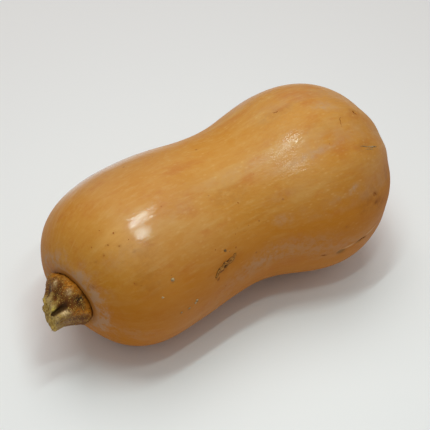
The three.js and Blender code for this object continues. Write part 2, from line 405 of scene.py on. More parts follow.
def make_mesh(name, points, faces, attributes=None, smooth=True):
    mesh = plain_mesh(name, points, faces=faces, attributes=attributes)
    mesh.polygons.foreach_set("use_smooth", [smooth] * len(mesh.polygons))
    mesh.validate()
    mesh.update()
    return link_object(name, mesh)


def ring_faces(rings, sides):
    """Faces of a tube of rings whose points run round it, closed at the two poles after them."""
    turns = [(j, (j + 1) % sides) for j in range(sides)]
    faces = [(start + j, start + sides + j, start + sides + k, start + k)
             for start in range(0, (rings - 1) * sides, sides) for j, k in turns]
    pole = rings * sides
    faces += [(pole, j, k) for j, k in turns]
    return faces + [(pole + 1, pole - sides + k, pole - sides + j) for j, k in turns]


# Millimetres between the skin's rings: in general, by the stem, by the blossom end and where the
# marks are, from one station to another; each is spread over some samples
RING_SPACING = 1.65
STEM_RADII, STEM_SPACING = (14, 27), 0.45
BLOSSOM_FINE_RADIUS, BLOSSOM_SPACING = 13, 0.55
MARKED_SPACINGS = [(26, 60, 0.75), (66, 95, 0.7), (148, 206, 0.95)]
SPREAD = 12
# Degrees between the points of a ring: in general, and how much less from one angle to another
POINT_SPACING = 2.0
FINER_ANGLES = [(62, 106, 1.3), (8, 56, 0.6)]
FINER_EASE = 6
ANGLE_SAMPLES = 2881
# Where the painted shade in the groove is darkest: the middle, and the half width and ease, in degrees
OPEN_MIDDLE, OPEN_HALF_WIDTH = 35, 35
# The angles between which the skin turns from its top to its side
SIDE_ANGLES = (40, 85)


def make_skin():
    radius, station = fruit_outline()
    run = np.concatenate([[0], np.cumsum(np.hypot(np.diff(radius), np.diff(station)))])
    spacing = np.full_like(run, RING_SPACING)
    spacing[(station < NECK_STATION) & (radius > STEM_RADII[0]) & (radius < STEM_RADII[1])] = STEM_SPACING
    spacing[(station > BULB_STATION) & (radius < BLOSSOM_FINE_RADIUS)] = BLOSSOM_SPACING
    for low, high, finer in MARKED_SPACINGS:
        spacing[(radius > CAP_RADIUS) & (station > low) & (station < high)] = finer
    share = np.full(2 * SPREAD + 1, 1 / (2 * SPREAD + 1))
    spacing = np.convolve(np.pad(spacing, SPREAD, mode="edge"), share, mode="valid")
    picked = spaced(run, spacing)[1:-1]
    ring_radius = np.interp(picked, run, radius)
    ring_station = np.interp(picked, run, station)
    turn = np.linspace(-180, 180, ANGLE_SAMPLES)
    turn_spacing = np.full_like(turn, POINT_SPACING)
    for low, high, finer in FINER_ANGLES:
        turn_spacing -= finer * window(turn, low, high, FINER_EASE)
    angles = spaced(turn, turn_spacing, closed=True)
    rings, sides = len(ring_radius), len(angles)
    s, a = all_pairs(ring_station, angles)
    r = np.repeat(ring_radius, sides)
    r = r - rib_depth(s, r, a)
    filled = s - np.where(s < NECK_STATION, groove_fill(r, a), 0)
    points = place_on_core(filled, r, a) + stem_ease(s, r)[:, None] * STEM_SHIFT
    grid = points.reshape(rings, sides, 3)
    round_it = np.roll(grid, -1, axis=1) - np.roll(grid, 1, axis=1)
    along = np.gradient(grid, axis=0)
    normals = np.cross(round_it, along).reshape(-1, 3)
    normals /= np.linalg.norm(normals, axis=1, keepdims=True)
    points = points + normals * skin_relief(points, s, a, r)[:, None]
    poles = place_on_core(np.array([station[0], station[-1]]), 0, 0)
    poles[0] += STEM_SHIFT
    points = np.vstack([points, poles])
    points[:, 2] = pressed(points[:, 2])
    points += SHIFT
    s, a, r = (np.append(v, [e0, e1]) for v, e0, e1 in (
        (s, station[0], station[-1]), (a, 0, 0), (r, 0, 0)))
    turn_round = np.radians(a)
    grain = np.stack([np.cos(turn_round), np.sin(turn_round), s / BODY_LENGTH], axis=1)
    attributes = {
        "grain": grain,
        "station": s / BODY_LENGTH,
        "off_axis": r / BULB_RADIUS,
        "furrow": (1 - np.cos(RIB_COUNT * (turn_round - math.radians(RIB_TURN)))) / 2,
        "marks": mark_relief(s, a, r),
        "bloom": sum_of_marks(BLOOM_AND_SHEEN, s, a, r),
        "stains": sum_of_marks(STAINS, s, a, r),
        "paler": sum_of_marks(PAINTED_SHEEN, s, a, r),
        "side": smoothstep(np.abs(degrees_apart(a, 0)), *SIDE_ANGLES),
        "open": window(degrees_apart(a, OPEN_MIDDLE), -OPEN_HALF_WIDTH, OPEN_HALF_WIDTH, OPEN_HALF_WIDTH),
    }
    piece = make_mesh("skin", points, ring_faces(rings, sides), attributes)
    piece.data.flip_normals()
    return piece


# Node trees
def wire(tree, kind, inputs=None, **settings):
    """A node with its settings, and its inputs linked to sockets or first outputs, or else set."""
    made = tree.nodes.new(kind)
    for key, value in settings.items():
        setattr(made, key, value)
    for key, value in (inputs or {}).items():
        socket = made.inputs[key]
        if isinstance(value, bpy.types.Node):
            value = value.outputs[0]
        if isinstance(value, bpy.types.NodeSocket):
            tree.links.new(value, socket)
        else:
            socket.default_value = value
    return made


def follow(kind, inputs, **settings):
    """A node in the tree of the sockets among its inputs."""
    tree = next(value.id_data for value in inputs.values() if isinstance(value, bpy.types.NodeSocket))
    return wire(tree, kind, inputs, **settings)


def math_node(operation, a, b, clamp=False):
    return follow("ShaderNodeMath", {0: a, 1: b}, operation=operation, use_clamp=clamp).outputs[0]


def times(product, *factors, clamp=False):
    for factor in factors:
        product = math_node("MULTIPLY", product, factor, clamp)
    return product


def plus(total, *terms, clamp=False):
    for term in terms:
        total = math_node("ADD", total, term, clamp)
    return total


def remap(value, low, high, to_low=0.0, to_high=1.0):
    inputs = {"Value": value, "From Min": low, "From Max": high, "To Min": to_low, "To Max": to_high}
    made = follow("ShaderNodeMapRange", inputs, interpolation_type="SMOOTHSTEP", clamp=True)
    return made.outputs["Result"]


def mix(factor, a, b):
    return follow("ShaderNodeMix", {0: factor, 6: a, 7: b}, data_type="RGBA").outputs[2]


def noise_node(vector, scale, detail, roughness):
    inputs = {"Vector": vector, "Scale": scale, "Detail": detail, "Roughness": roughness}
    return follow("ShaderNodeTexNoise", inputs).outputs["Fac"]


def patches(vector, scale, detail, roughness, *levels):
    """Noise spread over the levels that remap takes."""
    return remap(noise_node(vector, scale, detail, roughness), *levels)


def cells_node(vector, scale):
    """Cells, each with a chance value, and the distance from the middle of the nearest."""
    cells = follow("ShaderNodeTexVoronoi", {"Vector": vector, "Scale": scale, "Randomness": 1.0})
    return cells.outputs["Color"], cells.outputs["Distance"]


def scaled(vector, *scale):
    return follow("ShaderNodeMapping", {"Vector": vector, "Scale": scale}).outputs[0]


def attribute(tree, name, output="Fac"):
    return wire(tree, "ShaderNodeAttribute", attribute_name=name).outputs[output]


def new_material(name):
    material = bpy.data.materials.new(name)
    material.use_nodes = True
    tree = material.node_tree
    tree.nodes.clear()
    shader = wire(tree, "ShaderNodeBsdfPrincipled")
    wire(tree, "ShaderNodeOutputMaterial", {"Surface": shader})
    place = wire(tree, "ShaderNodeTexCoord").outputs["Object"]
    return material, tree, shader, place


def feed(shader, name, value, even=None):
    """Links or sets an input of the shader, and the even value for when the link isn't followed."""
    socket = shader.inputs[name]
    if even is not None:
        socket.default_value = even
    if isinstance(value, bpy.types.NodeSocket):
        shader.id_data.links.new(value, socket)
    else:
        socket.default_value = value


def add_bump(shader, height, strength, distance, inputs=("Normal",)):
    bump = follow("ShaderNodeBump", {"Height": height, "Strength": strength, "Distance": distance})
    for name in inputs:
        feed(shader, name, bump.outputs[0])


def rgb(red, green, blue):
    """A colour given as it looks on a screen, from 0 to 255."""
    def linear(c):
        c /= 255
        return c / 12.92 if c <= 0.04045 else ((c + 0.055) / 1.055) ** 2.4
    return (linear(red), linear(green), linear(blue), 1.0)


def skin_material():
    material, tree, shader, place = new_material("rind")
    grain = attribute(tree, "grain", "Vector")
    station, off_axis, furrow, marks, side = (
        attribute(tree, name) for name in ("station", "off_axis", "furrow", "marks", "side"))
    by_stem = remap(station, 0.2, 0.1)

    # Streaks that run from end to end, and larger cloudy changes of colour
    stretched = scaled(grain, 1.0, 1.0, 0.9)
    long_place = scaled(place, 0.55, 1.0, 1.0)
    thin_place = scaled(place, 0.22, 1.0, 1.0)
    fine_streaks = noise_node(stretched, 24, 4, 0.6)
    broad_streaks = noise_node(stretched, 6, 3, 0.55)
    blotches = noise_node(long_place, 70, 4, 0.6)
    mottle = noise_node(long_place, 300, 4, 0.65)
    tan, ochre, orange, pale = rgb(191, 131, 53), rgb(188, 124, 38), rgb(180, 105, 32), rgb(198, 150, 82)
    colour = mix(patches(place, 22, 4, 0.55, 0.38, 0.62), ochre, tan)
    for pattern, low, high, amount, paint in (
            (blotches, 0.5, 0.72, 0.6, orange), (broad_streaks, 0.5, 0.7, 0.4, pale),
            (fine_streaks, 0.52, 0.72, 0.25, pale), (mottle, 0.5, 0.75, 0.35, pale),
            (mottle, 0.5, 0.25, 0.3, orange)):
        colour = mix(remap(pattern, low, high, 0, amount), colour, paint)

    # Painted shade: darker towards the sides, away from the lit top; and a painted pale sheen on the neck
    # beside the highlight, broken by the streaks
    colour = mix(times(side, 0.55), colour, rgb(178, 102, 20))
    # Painted sheen beside the highlight on the neck
    painted_sheen_mask = times(attribute(tree, "paler"), remap(broad_streaks, 0.3, 0.7, 0.2, 0.5))
    colour = mix(painted_sheen_mask, colour, rgb(222, 168, 96))

    # Fine pale flecks, most of them on the waist and the bulb, in loose groups
    cell, distance = cells_node(long_place, 520)
    near = remap(distance, 0.5, 0.05)
    chosen = remap(cell, 0.3, 0.75)
    more = times(remap(station, 0.08, 0.5, 0.3, 1), remap(side, 0.35, 0.85, 1, 0.45))
    grouped = patches(place, 95, 3, 0.5, 0.4, 0.6, 0.15, 1)
    flecks = times(times(near, chosen), times(more, grouped))
    colour = mix(times(flecks, 0.26), colour, rgb(218, 176, 110))

    # Small brown specks of several sizes
    cell, distance = cells_node(place, 120)
    size = plus(remap(cell, 0.6, 0.9, 0, 0.12), 0.004)
    specks = remap(math_node("DIVIDE", distance, size), 1, 0.5, 0, 0.5)
    colour = mix(specks, colour, rgb(132, 70, 22))

    # Stains, darker and more orange, with broken edges
    stains = times(attribute(tree, "stains"), patches(place, 260, 4, 0.65, 0.35, 0.62, 0.25, 1))
    colour = mix(times(stains, 0.7, clamp=True), colour, rgb(140, 78, 22))

    # The waxy bloom: a patchy ring round the stem, thin streaks in the furrows and loose patches, one of
    # which, on the neck, is a painted sheen beside the highlight
    patchy = patches(place, 85, 5, 0.62, 0.34, 0.66)
    torn = patches(place, 250, 5, 0.7, 0.36, 0.62, 0.15, 1)
    uneven = patches(place, 130, 5, 0.65, 0.36, 0.64, 0.25, 1.2)
    reach = plus(off_axis, remap(patchy, 0, 1, 0.06, -0.06))
    ring = times(remap(reach, 0.58, 0.31), by_stem)
    ring = times(ring, times(uneven, torn), 1.5)
    in_furrow = times(remap(furrow, 0.6, 1), remap(station, 0.5, 0.7), patchy, 0.3)
    loose = times(attribute(tree, "bloom"), torn, 0.7)
    film_and_sheen = plus(plus(ring, in_furrow), loose, clamp=True)
    colour = mix(times(film_and_sheen, 0.76), colour, rgb(178, 143, 113))

    # Painted shade in the dents, a painted highlight on the crease, and a brown painted shade in the groove
    # round the stem, strongest on its open side
    colour = mix(remap(marks, -0.15, -0.8, 0, 0.6), colour, rgb(118, 92, 50))
    colour = mix(remap(marks, 0.08, 0.32, 0, 0.75), colour, rgb(200, 162, 116))
    # Painted shade in the groove round the stem
    opened = remap(attribute(tree, "open"), 0, 1, 0.5, 1)
    painted_groove_shade = times(remap(off_axis, 0.34, 0.312), by_stem, opened)
    colour = mix(painted_groove_shade, colour, rgb(180, 120, 54))

    # The corky button at the blossom end, and its dark middle
    edge = plus(off_axis, patches(place, 320, 4, 0.6, 0.3, 0.7, -0.02, 0.02))
    at_blossom = remap(station, 0.8, 0.9)
    button = times(remap(edge, 0.095, 0.075), at_blossom)
    colour = mix(button, colour, rgb(160, 118, 66))
    middle = times(remap(edge, 0.056, 0.036), at_blossom)
    feed(shader, "Base Color", mix(middle, colour, rgb(98, 64, 32)))

    # A dull skin under a thin wax, which is missing under the bloom and grainy on the bulb
    rough = plus(remap(station, 0.25, 0.75, 0.42, 0.5), times(film_and_sheen, 0.2),
                 times(button, 0.3))
    feed(shader, "Roughness", rough)
    towards_ends = times(remap(station, 0.02, 0.14, 0.2, 1),
                         remap(station, 0.8, 0.94, 1, 0.25))
    gloss = times(remap(side, 0, 1, 0.28, 0.07), towards_ends)
    feed(shader, "Specular IOR Level", gloss, even=0.25)
    on_bulb = times(remap(station, 0.56, 0.66, 0, 0.36),
                    patches(thin_place, 620, 3, 0.6, 0.38, 0.66, 0.35, 1.5))
    along = plus(remap(station, 0.28, 0.45, 0.95, 0.06), on_bulb)
    bare = math_node("SUBTRACT", 1.0, film_and_sheen)
    wax = times(bare, remap(side, 0.1, 0.8, 1, 0.08), remap(station, 0.07, 0.17),
                towards_ends, along)
    feed(shader, "Coat Weight", wax)
    wax_rough = plus(remap(mottle, 0.35, 0.65, 0.08, 0.18),
                     remap(station, 0.3, 0.65, 0, 0.01))
    feed(shader, "Coat Roughness", wax_rough, even=0.14)
    feed(shader, "Coat IOR", 1.5)

    # Very fine relief: pores, flecks and the streaks themselves
    pores = times(noise_node(thin_place, 800, 3, 0.6), remap(station, 0.4, 0.6, 0.42, 0.5))
    height = plus(pores, times(fine_streaks, 0.5), times(mottle, 0.7))
    add_bump(shader, height, 0.34, 0.0006, ("Normal", "Coat Normal"))
    return material


# The stem
def stem_mean_radius(height):
    rounding = np.sin(share_between(height, 0, COLLAR_HEIGHT) * np.pi / 2) ** 0.6
    collar = STEM_FOOT_RADIUS + (COLLAR_RADIUS - STEM_FOOT_RADIUS) * rounding
    shank = COLLAR_RADIUS + (STEM_WAIST_RADIUS - COLLAR_RADIUS) * smoothstep(
        height, COLLAR_HEIGHT, STEM_WAIST_HEIGHT)
    end_share = share_between(height, STEM_WAIST_HEIGHT, STEM_HEIGHT)
    end = STEM_WAIST_RADIUS + (STEM_END_RADIUS - STEM_WAIST_RADIUS) * end_share
    return np.where(height < COLLAR_HEIGHT, collar, np.where(height < STEM_WAIST_HEIGHT, shank, end))


def ridge_height(angle):
    total = np.zeros_like(angle)
    for at, prominence in STEM_RIDGES.items():
        total += prominence * bell(degrees_apart(angle, at) / RIDGE_HALF_WIDTH)
    return total


# Narrow furrows, each at an angle, with its half width in degrees, its depth and where it starts
STEM_FURROWS = [
    (47, 9, 2.4, 9.4), (2, 8, 0.2, 8), (97, 15, -1.0, 5), (143, 8, 1.2, 6),
    (188, 8, 1.0, 5), (232, 9, 1.2, 6), (278, 8, 0.9, 5), (330, 8, 0.5, 8),
]
# Knobs, each at an angle and a height, with its half size in millimetres, how far it stands out
# and how strong the highlight painted on it is
STEM_KNOBS = [
    (27, 6.1, 1.6, 0.9, 1.3), (-12, 7.4, 1.5, 0.8, 1.1), (61, 13.1, 1.4, 0.5, 1.2), (80, 4.4, 2.4, 0.9, 0),
    (104, 12.4, 3.2, 0, 0.4), (72, 8.6, 1.4, 0.5, 0), (67, 11.8, 1.5, 0.2, 1.0),
    (104, 3.8, 2.4, 0.8, 0), (60, 3.0, 1.8, 0.4, 0), (160, 6.0, 2.4, 0.8, 0.5), (208, 5.0, 2.6, 1.0, 0.6),
    (256, 6.5, 2.2, 0.8, 0.5), (302, 5.5, 2.4, 0.6, 0.4),
]
# Patches of paint on the stem in the order of painting: the colour, how strong it is, and for each
# patch an angle and a height with its half size and its strength
STEM_PAINTS = {
    "orange": ((190, 117, 24), 0.9, [
        (82, 3.4, 2.4, 1.2), (74, 7.8, 2.3, 1.4), (15, 5.3, 1.8, 0.5), (104, 3.2, 2.0, 0.5),
        (12, 2.2, 3.0, 0.9), (-28, 3.0, 3.2, 0.7), (32, 1.8, 2.4, 0.8), (190, 2.5, 3.0, 0.8),
        (250, 2.5, 3.0, 0.7)]),
    "dark": ((52, 32, 8), 0.85, [
        (46, 4.8, 2.6, 0.9), (61, 5.6, 2.0, 0.7), (92, 6.6, 2.0, 0.7), (71, 5.1, 1.1, 0.6),
        (5, 9.0, 3.2, 0.6), (118, 2.0, 2.2, 0.8), (104, 5.2, 1.6, 0.5), (51, 3.2, 2.3, 1.15),
        (-3, 3.4, 2.4, 0.45), (-20, 4.6, 1.8, 0.5), (-34, 9, 2.6, 0.5), (150, 3, 2.6, 0.7),
        (230, 5, 3.2, 0.7), (280, 4, 3.0, 0.6)]),
    "yellow": ((226, 200, 90), 0.9, [(36, 16.4, 1.3, 1.8)]),
}
# The notch in the broken rim: its angle, half width in degrees and depth
RIM_NOTCH = (-52, 7, 1.6)
# The unevenness of the stem as the size, the height and the seed of its lumps, and that of its break
STEM_LUMPS = [(4.6, 0.6, 3), (1.7, 0.28, 4), (0.75, 0.12, 5)]
STEM_BULGES = (3.4, 1.5, 8)
BREAK_LUMPS = [(2.6, 0.9, 6), (0.9, 0.5, 7)]
# Rings on the stem's foot, up its side and over its end, and the points of each
FOOT_RINGS, SIDE_RINGS, END_RINGS, STEM_SIDES = 5, 104, 30, 320


def on_stem(patches, height, angle, radius):
    """The sum of round patches on the stem; each ends with its half size and its strength."""
    total = np.zeros_like(height)
    for at, level, half_size, strength in patches:
        across = arc(angle, at, np.maximum(radius, 1))
        total += strength * bell(np.hypot(across, height - level) / half_size)
    return total


def make_stem():
    foot_rings = np.linspace(2, STEM_FOOT_RADIUS, FOOT_RINGS + 1)[:-1]
    heights = np.linspace(0, STEM_HEIGHT, SIDE_RINGS)
    end_shares = np.linspace(1, 0, END_RINGS + 2)[1:-1]
    ring_radius = np.concatenate([foot_rings, stem_mean_radius(heights), end_shares * STEM_END_RADIUS])
    ring_height = np.concatenate([np.zeros(FOOT_RINGS), heights, np.full(END_RINGS, STEM_HEIGHT)])
    on_end = np.concatenate([np.zeros(FOOT_RINGS + SIDE_RINGS), 1 - end_shares + 0.02])
    angles = np.arange(STEM_SIDES) * 360 / STEM_SIDES
    h, a = all_pairs(ring_height, angles)
    r, end = np.repeat(ring_radius, STEM_SIDES), np.repeat(on_end, STEM_SIDES)
    share = share_between(r, 0, STEM_END_RADIUS)
    grown = smoothstep(h, *RIDGE_GROWTH)
    relief = (ridge_height(a) - FURROW_DEPTH * grown) * grown * share
    for at, half_width, depth, start in STEM_FURROWS:
        deeper = smoothstep(h, start - 1.5, start + 3)
        relief -= depth * share * bell(degrees_apart(a, at) / half_width) * deeper
    relief += on_stem([knob[:4] for knob in STEM_KNOBS], h, a, r) * share
    painted_knob_highlights = on_stem([(*knob[:3], knob[4]) for knob in STEM_KNOBS], h, a, r)
    turn = np.radians(a)
    flat = np.stack([h, r * np.cos(turn), r * np.sin(turn)], axis=1)
    relief += lumps(flat, *STEM_BULGES) * window(h, 1.5, 5, 2) * share
    relief += sum(lumps(flat, *kind) for kind in STEM_LUMPS) * smoothstep(h, 0.5, 3) * share
    slope = CUT_RISE * share * np.cos(np.radians(a - CUT_ANGLE))
    hollow = np.where(end > 0, CUT_HOLLOW * (1 - share**2), 0)
    across = np.stack([np.zeros_like(h), r * np.cos(turn), r * np.sin(turn)], axis=1)
    torn = sum(lumps(across, *kind) for kind in BREAK_LUMPS)
    torn -= RIM_NOTCH[2] * share * bell(degrees_apart(a, RIM_NOTCH[0]) / RIM_NOTCH[1])
    torn *= smoothstep(h, 0.8 * STEM_HEIGHT, STEM_HEIGHT)
    reach = h + (h / STEM_HEIGHT) ** 2 * slope - hollow + torn

    foot_station = stem_end_station(0) + SEAT_DEPTH - STEM_GAP
    foot = place_on_core(foot_station, 0, 0)
    along = place_on_core(foot_station + 1, 0, 0) - foot
    up = place_on_core(foot_station, 1, 0) - foot
    side = place_on_core(foot_station, 1, 90) - foot
    foot = foot + STEM_SHIFT
    radius = (r + relief)[:, None]
    turn = turn[:, None]
    points = foot - along * reach[:, None] + up * radius * np.cos(turn) + side * radius * np.sin(turn)
    ends = np.array([foot, foot - along * (STEM_HEIGHT - CUT_HOLLOW)])
    points = np.vstack([points, ends]) + SHIFT
    attributes = {
        "height": np.append(h / STEM_HEIGHT, [0, 1]),
        "relief": np.append(relief, [0, 0]),
        "broken": np.append(end, [0, 1]),
        "pale": np.append(painted_knob_highlights, [0, 0]),
    }
    for name, (_, _, painted) in STEM_PAINTS.items():
        attributes[name] = np.append(on_stem(painted, h, a, r), [0, 0])
    return make_mesh("stem_stump", points, ring_faces(len(ring_radius), STEM_SIDES), attributes)


# Colours up the stem, from its foot to its end
STEM_RAMP = [
    (0.0, (144, 88, 20)), (0.16, (164, 104, 26)), (0.32, (122, 68, 12)),
    (0.62, (106, 58, 10)), (0.79, (144, 110, 54)), (0.95, (162, 134, 82)),
]


def stem_material():
    material, tree, shader, place = new_material("dry_stem")
    height, relief, broken = (attribute(tree, name) for name in ("height", "relief", "broken"))
    wobble = noise_node(place, 260, 4, 0.6)
    ragged = patches(place, 620, 4, 0.65, 0.36, 0.6, 0.2, 1)
    level = plus(height, remap(wobble, 0.3, 0.7, -0.14, 0.14))
    ramp = wire(tree, "ShaderNodeValToRGB", {0: level})
    elements = ramp.color_ramp.elements
    for element, (position, paint) in zip(elements, (STEM_RAMP[0], STEM_RAMP[-1])):
        element.position, element.color = position, rgb(*paint)
    for position, paint in STEM_RAMP[1:-1]:
        elements.new(position).color = rgb(*paint)
    colour = ramp.outputs["Color"]
    for name, (paint, strength, _) in STEM_PAINTS.items():
        patch = times(attribute(tree, name), ragged)
        colour = mix(times(patch, strength, clamp=True), colour, rgb(*paint))

    # Ashy ridges, painted highlights on the knobs, painted shade in the furrows, dark pits, and the paler
    # broken face
    on_ridge = times(remap(relief, 0.3, 2.2, 0, 0.6), remap(height, 0.5, 0.8))
    ashy = times(patches(place, 420, 4, 0.65, 0.5, 0.68), on_ridge)
    colour = mix(ashy, colour, rgb(176, 152, 100))
    # Painted highlights on the knobs
    pale = times(attribute(tree, "pale"), ragged)
    colour = mix(times(pale, 0.8, clamp=True), colour, rgb(222, 190, 140))
    # Painted shade in the furrows, darker the deeper they are
    colour = mix(remap(relief, -0.5, -2.6, 0, 0.9), colour, rgb(62, 36, 12))
    colour = mix(patches(place, 900, 3, 0.6, 0.44, 0.3, 0, 0.8), colour, rgb(58, 34, 12))
    face = mix(patches(place, 500, 4, 0.6, 0.35, 0.65), rgb(144, 112, 48), rgb(204, 174, 92))
    feed(shader, "Base Color", mix(remap(broken, 0.0, 0.06), colour, face))
    feed(shader, "Roughness", remap(wobble, 0.3, 0.7, 0.36, 0.6))
    feed(shader, "Specular IOR Level", 0.18)
    bumps = plus(noise_node(place, 1300, 4, 0.65), noise_node(place, 480, 3, 0.6))
    add_bump(shader, bumps, 0.6, 0.0005)
    return material


# The dry matt surfaces: a darker and a paler colour, the scale of their change and the roughness
CORKS = {
    "pale_cork": ((128, 100, 62), (184, 158, 116), 900, 0.7),
    "brown_cork": ((126, 70, 24), (152, 90, 34), 700, 0.6),
    "speck_cork": ((146, 82, 28), (170, 100, 40), 700, 0.6),
    "grey_cork": ((100, 72, 42), (134, 102, 66), 700, 0.7),
    "grey_scar": ((132, 104, 68), (168, 140, 104), 800, 0.7),
    "grain_cork": ((140, 104, 42), (200, 166, 88), 500, 0.7),
}


def flat_material(name, dark, light, scale, roughness):
    """A dry matt surface that changes between two colours."""
    material, _, shader, place = new_material(name)
    shade = patches(place, scale, 4, 0.6, 0.35, 0.65)
    feed(shader, "Base Color", mix(shade, rgb(*dark), rgb(*light)))
    feed(shader, "Roughness", roughness)
    feed(shader, "Specular IOR Level", 0.1)
    add_bump(shader, noise_node(place, scale * 3, 3, 0.6), 0.4, 0.0002)
    return material


# The long scar, a wrinkled crust on the waist
def make_long_scar():
    rows, columns = SCAR_ROWS, SCAR_COLUMNS
    u, v = all_pairs(np.linspace(0, 1, rows), np.linspace(-1, 1, columns))
    station, angle = along_path(LONG_SCAR, u)
    ahead_station, ahead_angle = along_path(LONG_SCAR, np.minimum(u + 0.02, 1))
    back_station, back_angle = along_path(LONG_SCAR, np.maximum(u - 0.02, 0))
    radius = outline_radius(station)
    du = ahead_station - back_station
    dv = np.radians(ahead_angle - back_angle) * radius
    length = np.hypot(du, dv)
    width = SCAR_HALF_WIDTH * np.sin(np.pi * np.clip(u, 0.001, 0.999)) ** 0.55
    ragged = np.array([noise.noise(Vector((x * 9, 3.0 if w > 0 else 8.0, 0))) for x, w in zip(u, v)])
    width = width * (1 + 0.45 * ragged)
    aside = v * width
    s = station - aside * dv / length
    a = angle + np.degrees(aside * du / length / radius)
    place = np.stack([u * 17, aside * 1.6, np.zeros_like(u)], axis=1)
    wander = lumps(place, 2.4, 0.5, 11)
    strands = np.abs(np.sin((v + 1.3 * wander) * 5.6 + 1.3 * np.sin(u * 9)))
    knots = 0.5 + lumps(place, 1.1, 0.8, 12)
    crack = np.clip(1.1 - strands * 1.5, 0, 1) * np.clip(knots + 0.6, 0, 1)
    edge = smoothstep(np.abs(v), 0.72, 1.0)
    rim = bell((np.abs(v) - 0.86) / 0.1) * 0.9
    crack = np.clip(crack + rim * np.clip(knots + 0.3, 0.2, 1), 0, 1)
    lift = 0.34 * (1 - edge) + 0.12 * knots - 0.3 * crack - 0.5 * edge
    lift = np.where((u < 0.01) | (u > 0.99) | (np.abs(v) > 0.99), -0.7, lift)
    points, normals = skin_point(s, a)
    points = points + normals * lift[:, None]
    faces = [(i * columns + j, i * columns + j + 1, (i + 1) * columns + j + 1, (i + 1) * columns + j)
             for i in range(rows - 1) for j in range(columns - 1)]
    return make_mesh("long_scar", points, faces, {"crack": crack})


def scar_material():
    material, tree, shader, place = new_material("corky_scar")
    tone = patches(place, 600, 4, 0.6, 0.35, 0.65)
    colour = mix(tone, rgb(142, 84, 30), rgb(184, 128, 60))
    crack = remap(attribute(tree, "crack"), 0.12, 0.55)
    feed(shader, "Base Color", mix(crack, colour, rgb(80, 48, 14)))
    feed(shader, "Roughness", 0.8)
    feed(shader, "Specular IOR Level", 0.2)
    return material


# What repeats: warts, brown specks and scratches on the skin, and corky grains on the stem
def new_group(name, settings):
    """A Geometry Nodes tree with a geometry going in and out and the named settings."""
    tree = bpy.data.node_groups.new(name, "GeometryNodeTree")
    tree.interface.new_socket("Geometry", in_out="INPUT", socket_type="NodeSocketGeometry")
    kinds = {bpy.types.Material: "NodeSocketMaterial", int: "NodeSocketInt", float: "NodeSocketFloat"}
    for key, value in settings.items():
        tree.interface.new_socket(key, in_out="INPUT", socket_type=kinds[type(value)])
    tree.interface.new_socket("Geometry", in_out="OUTPUT", socket_type="NodeSocketGeometry")
    return tree, wire(tree, "NodeGroupInput").outputs


def named(tree, name, kind="FLOAT"):
    return wire(tree, "GeometryNodeInputNamedAttribute", {"Name": name}, data_type=kind)


def random_value(tree, least, greatest, seed):
    inputs = {"Min": least, "Max": greatest, "Seed": seed}
    return wire(tree, "FunctionNodeRandomValue", inputs, data_type="FLOAT").outputs["Value"]


def grow(name, tree, source, settings, start, last):
    """Ends the tree with its finish, runs it on the source and keeps the plain mesh that comes out."""
    done = wire(tree, "GeometryNodeSetMaterial", {"Geometry": last, "Material": start["Finish"]})
    wire(tree, "NodeGroupOutput", {0: done})
    holder = link_object(name + "_source", source)
    modifier = holder.modifiers.new("grow", "NODES")
    modifier.node_group = tree
    for item in tree.interface.items_tree:
        if item.in_out == "INPUT" and item.name in settings:
            modifier[item.identifier] = settings[item.name]
    graph = bpy.context.evaluated_depsgraph_get()
    mesh = bpy.data.meshes.new_from_object(holder.evaluated_get(graph), depsgraph=graph)
    mesh.name = name
    bpy.data.objects.remove(holder)
    return link_object(name, mesh)


def skin_spots(name, spots, flatness, sink, material, lumpiness):
    """Rounded blobs in the skin, each given as a station, an angle and a radius in millimetres."""
    station, angle, radius = (np.array(column, dtype=float) for column in zip(*spots))
    points, normals = skin_point(station, angle)
    points = points - normals * (radius * sink)[:, None]
    cloud = plain_mesh(name, points, attributes={"facing": normals, "size": radius})
    settings = {"Flatness": flatness, "Lumpiness": lumpiness, "Detail": 3, "Seed": SEED, "Finish": material}
    tree, start = new_group(name, settings)
    ball = wire(tree, "GeometryNodeMeshIcoSphere", {"Radius": MM, "Subdivisions": start["Detail"]})
    flat = wire(tree, "ShaderNodeCombineXYZ", {0: 1.0, 1: 1.0, 2: start["Flatness"]})
    ball = wire(tree, "GeometryNodeTransform", {"Geometry": ball, "Scale": flat})
    facing = named(tree, "facing", "FLOAT_VECTOR")
    turned = wire(tree, "FunctionNodeAlignRotationToVector", {"Vector": facing}, axis="Z")
    placed = wire(tree, "GeometryNodeInstanceOnPoints", {
        "Points": start["Geometry"], "Instance": ball, "Rotation": turned, "Scale": named(tree, "size")})
    spin = wire(tree, "ShaderNodeCombineXYZ", {2: random_value(tree, 0.0, math.tau, start["Seed"])})
    spun = wire(tree, "GeometryNodeRotateInstances", {"Instances": placed, "Rotation": spin})
    real = wire(tree, "GeometryNodeRealizeInstances", {0: spun})
    where = wire(tree, "GeometryNodeInputPosition")
    ripple = wire(tree, "ShaderNodeTexNoise", {"Vector": where, "Scale": 900.0, "Detail": 2.0})
    centred = wire(tree, "ShaderNodeVectorMath", {0: ripple.outputs["Color"], 1: (0.5, 0.5, 0.5)},
                   operation="SUBTRACT")
    push = wire(tree, "ShaderNodeVectorMath",
                {0: centred, "Scale": times(start["Lumpiness"], 2 * MM)}, operation="SCALE")
    moved = wire(tree, "GeometryNodeSetPosition", {"Geometry": real, "Offset": push})
    smooth = wire(tree, "GeometryNodeSetShadeSmooth", {0: moved})
    return grow(name, tree, cloud, settings, start, smooth)


# Warts, each with its station, its angle and its radius in millimetres
WARTS = [
    (38.5, 65.0, 1.15), (28.1, 72.5, 0.75), (51.2, 88.4, 0.95), (49.8, 89.6, 0.8),
    (44.3, 90.8, 0.8), (37.8, 90.4, 0.7),
]
